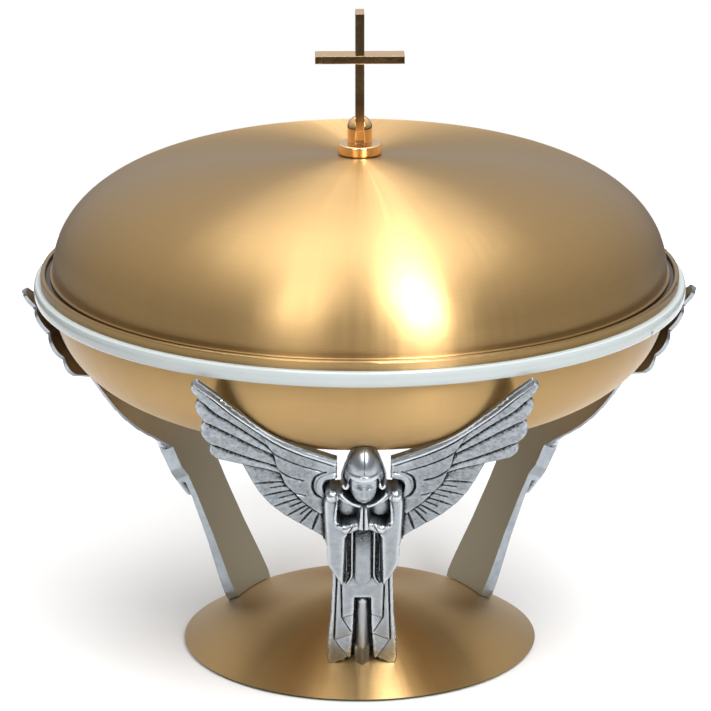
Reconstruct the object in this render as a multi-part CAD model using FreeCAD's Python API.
"""Ciborium vessel: a lidded bowl carried by three winged angels on a domed foot.

Millimetres. +Z is up, and the origin is the centre of the foot's resting face.
An azimuth is counted about +Z from the front (-Y), positive towards +X.
"""
import FreeCAD, Part
import math
import os

Vec = FreeCAD.Vector
UP = Vec(0, 0, 1)
AXIS_POINT = Vec(0, 0, 0)

# ---- driving dimensions ----------------------------------------------------------------
SHEET = 1.2              # thickness of the spun bronze
FIT = 0.1                # assembly gap between curved faces of one body
FOOT_SEAT = 0.25         # stand-off of a flat washer inside the curved foot
BOWL_SEAT = 0.45         # the same inside the more tightly curved bowl

FELT_T = 0.8             # felt ring under the foot
FOOT_R = 56.5            # foot dome: radius at its edge
FOOT_TOP = 18.0
FOOT_RIM = 7.5           # width of the flange turned in under the dome

BOWL_R = 96.5            # bowl wall, outside
BOWL_BOTTOM = 80.8
WALL_TOP = 122.3         # top face of the bowl's seat
BOWL_CURVE = (3.277, 2.739)

LIP_R = 100.0            # upturned lip round the seat
LIP_T = 1.6
LIP_TOP = 124.0

LINER_GAP = 6.2          # height of the space between bowl and liner at the centre
LINER_T = 0.8
LINER_R = 94.8

BAND_R = 102.2           # enamelled band
BAND_Z = (116.6, 121.2)
BAND_CROWN = 0.35
BAND_PIN_R = 0.6
BAND_PIN_AZIMUTH = 59.0

LID_R = 96.3
LID_Z = 123.1            # underside of the lid's edge
LID_TOP = 160.6
LID_CURVE = (3.395, 2.149)
LID_BEAD = 0.8           # how far the lid's rolled edge stands out
RING_R = 93.2            # locating ring inside the lid
RING_T = 1.2
RING_DROP = 3.6

COLLAR_R = 6.9           # finial collar
COLLAR_Z = (161.1, 164.1)
POST_R = 3.9
POST_TOP = 172.9
BAR_W = 2.7              # width of the cross bars seen from the front
BAR_D = 7.5              # depth of the cross bars
NOTCH_FLOOR = 1.8        # flat notch in the front of the post, measured from its axis
CROSS_Z = (168.5, 205.7)
ARM_Z = (190.0, 192.4)
ARM_SPAN = 27.6

LEAN = math.radians(26.4)     # outward lean of the angel castings
BACK_AT = (39.2, 9.2)         # radius and height of a casting's back face at v = 0
AZIMUTHS = {"angel_front": 0.0, "angel_right": 120.0, "angel_left": -120.0}

M3_R = 1.5
M3_HOLE_R = 1.6
THREAD_GAP = 0.05
FINIAL_SCREW_R = 1.25
HEAD_R = 2.75
HEAD_H = 1.8
WASHER_R = 3.5
WASHER_T = 0.5
FOOT_SCREW_N = 2.75           # depth of the foot screw's axis in the casting
FOOT_SCREW_BITE = 8.0
BOWL_SCREW_R = 79.5           # radius where the bowl screws cross the bowl's outside
BOWL_SCREW_BITE = 5.5


# ---- general geometry ------------------------------------------------------------------
def edge(a, b):
    return Part.LineSegment(Vec(a[0], 0, a[1]), Vec(b[0], 0, b[1])).toShape()


def dome_height(r, radius, depth, curve):
    """Height above the rim of a superelliptic dome at radius r."""
    inner, outer = curve
    return depth * (1 - min(1.0, r / radius) ** inner) ** (1 / outer)


def profile(radius, depth, rim_z, curve, sign):
    """(r, z) points of a superelliptic dome from its axis to its rim, even in angle."""
    steps = 22
    inner, outer = curve
    points = []
    for i in range(steps + 1):
        t = 0.5 * math.pi * i / steps
        r = radius * math.sin(t) ** (2 / inner)
        z = rim_z + sign * depth * math.cos(t) ** (2 / outer)
        points.append((r, z))
    points[-1] = (radius, rim_z)
    return points


def smooth(points):
    """One spline edge through (r, z) points."""
    curve = Part.BSplineCurve()
    curve.interpolate([Vec(r, 0, z) for r, z in points])
    return curve.toShape()


def revolve_edges(edges):
    return Part.Face(Part.Wire(edges)).revolve(AXIS_POINT, UP, 360)


def dome_body(radius, depth, rim_z, curve, sign):
    """Full solid between a dome and its rim plane."""
    points = profile(radius, depth, rim_z, curve, sign)
    centre = (0.0, rim_z)
    return revolve_edges([smooth(points), edge(points[-1], centre), edge(centre, points[0])])


def cylinder(radius, low, high):
    return Part.makeCylinder(radius, high - low, Vec(0, 0, low))


def ring(inner, outer, low, high):
    return cylinder(outer, low, high).cut(cylinder(inner, low - 1, high + 1))


def around(shape, azimuth):
    turned = shape.copy()
    turned.rotate(AXIS_POINT, UP, azimuth)
    return turned


def three_of(shape, azimuths):
    return Part.makeCompound([around(shape, a) for a in azimuths])


# ---- surfaces that other parts are fitted to -------------------------------------------
FOOT_RISE = FOOT_TOP - FELT_T
FOOT_SPHERE = (FOOT_R ** 2 + FOOT_RISE ** 2) / (2 * FOOT_RISE)


def foot_cap(inset):
    """Solid spherical cap, parallel to the foot's outside and inset below it."""
    ball = Part.makeSphere(FOOT_SPHERE - inset, Vec(0, 0, FOOT_TOP - FOOT_SPHERE))
    return ball.common(cylinder(FOOT_R + 5, FELT_T, FOOT_TOP + 5))


def bowl_depth():
    return WALL_TOP - BOWL_BOTTOM


def bowl_height(r):
    return WALL_TOP - dome_height(r, BOWL_R, bowl_depth(), BOWL_CURVE)


def bowl_space(inset):
    """Everything inside the bowl's outside face, inset by a wall thickness."""
    body = dome_body(BOWL_R - inset, bowl_depth() - inset, WALL_TOP, BOWL_CURVE, -1)
    return body.fuse(cylinder(BOWL_R - inset, WALL_TOP - 0.01, LIP_TOP + 5))


# ---- foot ------------------------------------------------------------------------------
def make_base_dome():
    shell = foot_cap(0).cut(foot_cap(SHEET).cut(cylinder(FOOT_R, 0, FELT_T + SHEET)))
    opening = cylinder(FOOT_R - FOOT_RIM, 0, FELT_T + SHEET + 0.01)
    return shell.cut(opening)


def make_base_felt():
    return ring(FOOT_R - FOOT_RIM + 0.5, FOOT_R - 1.0, 0, FELT_T)


# ---- angel casting, in its own plane ---------------------------------------------------
# u runs across, v up the lean, n out of the back face.  One half is drawn, then mirrored.
ROBE = [(0, -3), (9.0, -3), (11.3, 1), (11.5, 4), (10.2, 34), (10.4, 38), (11.8, 47),
        (12.2, 64), (12.0, 76), (10.8, 80.5), (8.0, 81.5), (4.5, 82), (0, 82)]
ROBE_SIDE = [(-3, 0), (82, 0), (82, 3.5), (77, 5.6), (62, 5.8), (37, 6.2), (36, 3.2),
             (22, 4.2), (3, 5.6), (-3, 5.6)]
SLEEVE = [(6.3, 59), (6.3, 36.4), (11.6, 47), (12.1, 60)]
FEATHER_TIPS = [(52.3, 118.0), (49.7, 113.3), (50.4, 108.6), (48.6, 103.6), (48.3, 97.6),
                (46.6, 94.2), (45.6, 89.0)]
TRAILING = [(43.5, 88.2), (37.0, 86.2), (34.8, 79.6), (31.0, 72.2), (24.3, 63.4),
            (16.0, 57.6), (10.5, 53.5)]
LEADING = [(8.6, 87.9), (17.6, 92.6), (24.0, 96.3), (30.0, 100.8), (39.0, 108.5),
           (45.0, 115.0), (50.3, 120.2)]
SHOULDER_GAP = [(11.0, 78.0), (13.6, 80.0), (11.5, 82.6), (8.8, 83.2)]
WING_T = 2.2
EDGE_T = 3.2


def plane_prism(points, low, high):
    """Prism over a (u, v) outline, from one n to another."""
    wire = Part.makePolygon([Vec(u, v, low) for u, v in points + points[:1]])
    return Part.Face(wire).extrude(Vec(0, 0, high - low))


def mirrored(shape):
    return shape.mirror(Vec(0, 0, 0), Vec(1, 0, 0))


def side_prism(points, half):
    """Prism across the figure over a (v, n) side outline."""
    wire = Part.makePolygon([Vec(-half, v, n) for v, n in points + points[:1]])
    return Part.Face(wire).extrude(Vec(2 * half, 0, 0))


def make_wing():
    blade = plane_prism(LEADING + FEATHER_TIPS + TRAILING + SHOULDER_GAP, 0, WING_T)
    strip = [(u + 0.6, v - 2.4) for u, v in reversed(LEADING[:-1])]
    leading_edge = plane_prism(LEADING[:-1] + strip, 0, EDGE_T)
    return blade.fuse(leading_edge)


def ellipsoid(centre, radii):
    ball = Part.makeSphere(1.0)
    scale = FreeCAD.Matrix()
    scale.scale(*radii)
    shape = ball.transformGeometry(scale)
    shape.translate(Vec(*centre))
    return shape


def make_figure():
    half = plane_prism(ROBE, -1, 12)
    figure = half.fuse(mirrored(half)).common(side_prism(ROBE_SIDE, 14))
    slot = Part.makeBox(4.6, 40, 3, Vec(-2.3, -6, 3.0))
    panel = Part.makeBox(4.6, 24, 3, Vec(-2.3, 36.5, 3.8))
    fold = Part.makeCylinder(1.7, 36, Vec(0, -4, 3.2), Vec(0, 1, 0))
    gown = Part.makeCylinder(2.0, 26, Vec(0, 35, 3.0), Vec(0, 1, 0))
    figure = figure.cut(slot).cut(panel).fuse([fold, gown])
    sleeve = plane_prism(SLEEVE, 0, 7.2)
    chest = ellipsoid((4.9, 72.0, 4.5), (2.7, 4.0, 2.9))
    hand = Part.makeBox(1.1, 10.5, 3.4, Vec(0, 64.0, 5.4))
    for piece in (sleeve, chest, hand):
        figure = figure.fuse([piece, mirrored(piece)])
    return figure


def make_head():
    skull = ellipsoid((0, 86.3, 3.6), (5.7, 10.0, 5.4))
    bob = ellipsoid((0, 83.2, 2.6), (6.9, 7.2, 4.0))
    behind = Part.makeBox(20, 30, 10, Vec(-10, 70, -10))
    return skull.fuse(bob).cut(behind)


def casting_frame(azimuth):
    """Placement matrix that takes (u, v, n) to the vessel's frame."""
    a = math.radians(azimuth)
    across = Vec(math.cos(a), math.sin(a), 0)
    outward = Vec(math.sin(a), -math.cos(a), 0)
    along = outward * math.sin(LEAN) + UP * math.cos(LEAN)
    normal = outward * math.cos(LEAN) - UP * math.sin(LEAN)
    origin = outward * BACK_AT[0] + UP * BACK_AT[1]
    return FreeCAD.Matrix(across.x, along.x, normal.x, origin.x,
                          across.y, along.y, normal.y, origin.y,
                          across.z, along.z, normal.z, origin.z, 0, 0, 0, 1)


def placed(shape, azimuth):
    out = shape.copy()
    out.transformShape(casting_frame(azimuth))
    return out


def make_angel():
    """One casting at the front, trimmed to sit on the foot and under the bowl."""
    wing = make_wing()
    whole = make_figure().fuse([wing, mirrored(wing), make_head()]).removeSplitter()
    angel = placed(whole, 0.0)
    angel = angel.cut(foot_cap(-FIT)).cut(bowl_space(-FIT))
    for tapped in (foot_screw_rod(M3_R + THREAD_GAP), bowl_screw_rod(M3_R + THREAD_GAP)):
        angel = angel.cut(tapped)
    return max(angel.Solids, key=lambda s: s.Volume)


# ---- fasteners -------------------------------------------------------------------------
def foot_line():
    """Point on the dome's outside and direction of the front foot screw."""
    matrix = casting_frame(0.0)
    point = matrix.multVec(Vec(0, 0, FOOT_SCREW_N))
    direction = matrix.multVec(Vec(0, 1, FOOT_SCREW_N)) - point
    centre = Vec(0, 0, FOOT_TOP - FOOT_SPHERE)
    towards = (point - centre).dot(direction)
    miss = (point - centre).Length ** 2 - towards ** 2
    start = point + direction * (math.sqrt(FOOT_SPHERE ** 2 - miss) - towards)
    return start, direction


def bowl_line():
    """Point on the bowl's outside and outward direction of the front bowl screw."""
    step = 0.01
    rise = bowl_height(BOWL_SCREW_R + step) - bowl_height(BOWL_SCREW_R - step)
    slope = math.atan2(rise, 2 * step)
    start = Vec(0, -BOWL_SCREW_R, bowl_height(BOWL_SCREW_R))
    return start, Vec(0, -math.sin(slope), -math.cos(slope))


def rod(line, radius, low, high):
    start, direction = line
    return Part.makeCylinder(radius, high - low, start + direction * low, direction)


def foot_screw_rod(radius):
    return rod(foot_line(), radius, -6, FOOT_SCREW_BITE + 0.5)


def bowl_screw_rod(radius):
    return rod(bowl_line(), radius, -8, BOWL_SCREW_BITE + 0.5)


def make_washer(line, stand_off):
    top = -SHEET - stand_off
    return rod(line, WASHER_R, top - WASHER_T, top).cut(rod(line, M3_HOLE_R, top - 2, top + 2))


def make_screw(line, stand_off, bite):
    seat = -SHEET - stand_off - WASHER_T
    head = rod(line, HEAD_R, seat - HEAD_H, seat)
    drive = rod(line, 1.0, seat - HEAD_H - 1, seat - HEAD_H + 1.0)
    return head.cut(drive).fuse(rod(line, M3_R, seat, bite)).removeSplitter()


# ---- bowl ------------------------------------------------------------------------------
def make_bowl():
    wall = bowl_space(0).common(cylinder(LIP_R, 0, WALL_TOP))
    seat = cylinder(LIP_R - 0.5, WALL_TOP - 1.0, WALL_TOP)
    lip = ring(LIP_R - LIP_T, LIP_R, WALL_TOP - 1.0, LIP_TOP)
    rounded = [e for e in lip.Edges if e.BoundBox.ZMin > LIP_TOP - 0.01]
    lip = lip.makeFillet(0.5, rounded)
    body = wall.fuse([seat, lip]).cut(bowl_space(SHEET))
    return body.removeSplitter()


def drilled(shape, tool, azimuths):
    for azimuth in azimuths:
        shape = shape.cut(around(tool, azimuth))
    return shape


def make_bowl_liner():
    depth = bowl_depth() - LINER_GAP
    outside = dome_body(LINER_R, depth, WALL_TOP, BOWL_CURVE, -1)
    inside = dome_body(LINER_R - LINER_T, depth - LINER_T, WALL_TOP, BOWL_CURVE, -1)
    flange = ring(LINER_R - LINER_T, LIP_R - LIP_T - 0.15, WALL_TOP, LID_Z)
    return outside.cut(inside).fuse(flange).removeSplitter()


def make_enamel_band():
    low, high = BAND_Z
    inner = BOWL_R + 0.3
    face = BAND_R - BAND_CROWN
    crown = Part.Arc(Vec(face, 0, low + 0.4), Vec(BAND_R, 0, (low + high) / 2),
                     Vec(face, 0, high - 0.4)).toShape()
    inset = face - 0.4
    edges = [edge((inner, low), (inset, low)), edge((inset, low), (face, low + 0.4)), crown,
             edge((face, high - 0.4), (inset, high)), edge((inset, high), (inner, high)),
             edge((inner, high), (inner, low))]
    return revolve_edges(edges)


def band_pin_rod(radius, inner, outer):
    height = BAND_Z[0] + 1.3
    return Part.makeCylinder(radius, outer - inner, Vec(0, -inner, height), Vec(0, -1, 0))


# ---- lid and finial --------------------------------------------------------------------
def make_lid_shell():
    depth = LID_TOP - LID_Z
    outside = dome_body(LID_R, depth, LID_Z, LID_CURVE, 1)
    inside = dome_body(LID_R - SHEET, depth - SHEET, LID_Z, LID_CURVE, 1)
    bead = ring(LID_R - 3.0, LID_R + LID_BEAD, LID_Z, LID_Z + 0.9)
    round_edges = [e for e in bead.Edges if e.BoundBox.XMax > LID_R + LID_BEAD - 0.1]
    bead = bead.makeFillet(0.35, round_edges)
    hole = cylinder(M3_HOLE_R + 0.5, LID_TOP - 5, LID_TOP + 5)
    return outside.cut(inside).fuse(bead).cut(hole).removeSplitter()


def make_lid_ring():
    """Ring brazed inside the lid's edge; its skirt drops into the liner."""
    skirt = ring(RING_R - RING_T, RING_R, LID_Z - RING_DROP, LID_Z + 4.0)
    flange = ring(RING_R - RING_T, LID_R - SHEET - 0.4, LID_Z + 0.95, LID_Z + 2.0)
    return skirt.fuse(flange).removeSplitter()


def make_finial_collar():
    low, high = COLLAR_Z
    body = cylinder(COLLAR_R, low, high)
    tops = [e for e in body.Edges if e.BoundBox.ZMin > high - 0.01]
    body = body.makeFillet(0.6, tops)
    seat = cylinder(COLLAR_R - 1.6, LID_TOP, low)
    return body.fuse(seat).cut(cylinder(M3_HOLE_R, LID_TOP - 1, high + 1)).removeSplitter()


def make_finial_post():
    spring = POST_TOP - POST_R
    body = cylinder(POST_R, COLLAR_Z[1], spring)
    cap = Part.makeSphere(POST_R, Vec(0, 0, spring))
    slot = Part.makeBox(BAR_W, 20, 10, Vec(-BAR_W / 2, -10, CROSS_Z[0]))
    notch = Part.makeBox(BAR_W, POST_R, CROSS_Z[0] - COLLAR_Z[1],
                         Vec(-BAR_W / 2, -NOTCH_FLOOR - POST_R, COLLAR_Z[1]))
    tapped = cylinder(FINIAL_SCREW_R + THREAD_GAP, COLLAR_Z[1] - 1, COLLAR_Z[1] + 3.6)
    return body.fuse(cap).cut(slot).cut(notch).cut(tapped).removeSplitter()


def bar(width, low, high):
    return Part.makeBox(width, BAR_D, high - low, Vec(-width / 2, -BAR_D / 2, low))


def make_cross_arm():
    """Arm with the back half of its middle cut away for the half-lap."""
    lap = Part.makeBox(BAR_W, BAR_D, 10, Vec(-BAR_W / 2, 0, ARM_Z[0] - 2))
    return bar(ARM_SPAN, *ARM_Z).cut(lap)


def make_cross_upright():
    return bar(BAR_W, *CROSS_Z).cut(make_cross_arm())


def make_finial_screw():
    seat = LID_TOP - SHEET - FIT - WASHER_T
    head = cylinder(HEAD_R, seat - HEAD_H, seat)
    drive = cylinder(1.0, seat - HEAD_H - 1, seat - HEAD_H + 1.0)
    shank = cylinder(FINIAL_SCREW_R, seat, COLLAR_Z[1] + 3.2)
    return head.cut(drive).fuse(shank).removeSplitter()


def make_finial_washer():
    top = LID_TOP - SHEET - FIT
    return ring(M3_HOLE_R, WASHER_R + 1.5, top - WASHER_T, top)


# ---- every node ------------------------------------------------------------------------
def build():
    angles = list(AZIMUTHS.values())
    angel = make_angel()
    pin_hole = around(band_pin_rod(BAND_PIN_R + 0.02, BOWL_R - 3, BAND_R + 2), BAND_PIN_AZIMUTH)
    pin = around(band_pin_rod(BAND_PIN_R, BOWL_R - SHEET, BAND_R - 0.5), BAND_PIN_AZIMUTH)
    nodes = {
        "base_dome": drilled(make_base_dome(), foot_screw_rod(M3_HOLE_R), angles),
        "base_felt": make_base_felt(),
        "foot_screws": three_of(make_screw(foot_line(), FOOT_SEAT, FOOT_SCREW_BITE), angles),
        "foot_washers": three_of(make_washer(foot_line(), FOOT_SEAT), angles),
        "bowl": drilled(make_bowl(), bowl_screw_rod(M3_HOLE_R), angles).cut(pin_hole),
        "bowl_liner": make_bowl_liner(),
        "bowl_screws": three_of(make_screw(bowl_line(), BOWL_SEAT, BOWL_SCREW_BITE), angles),
        "bowl_washers": three_of(make_washer(bowl_line(), BOWL_SEAT), angles),
        "enamel_band": make_enamel_band().cut(pin_hole),
        "band_pin": pin,
        "lid_shell": make_lid_shell(),
        "lid_ring": make_lid_ring(),
        "finial_collar": make_finial_collar(),
        "finial_post": make_finial_post(),
        "cross_upright": make_cross_upright(),
        "cross_arm": make_cross_arm(),
        "finial_screw": make_finial_screw(),
        "finial_washer": make_finial_washer(),
    }
    for name, azimuth in AZIMUTHS.items():
        nodes[name] = around(angel, azimuth)
    return nodes


def main():
    os.makedirs("parts", exist_ok=True)
    for name, shape in build().items():
        solids = len(shape.Solids)
        print(name, "solids", solids, "valid", shape.isValid(), "volume", round(shape.Volume, 1))
        shape.exportStep("parts/" + name + ".step")


main()
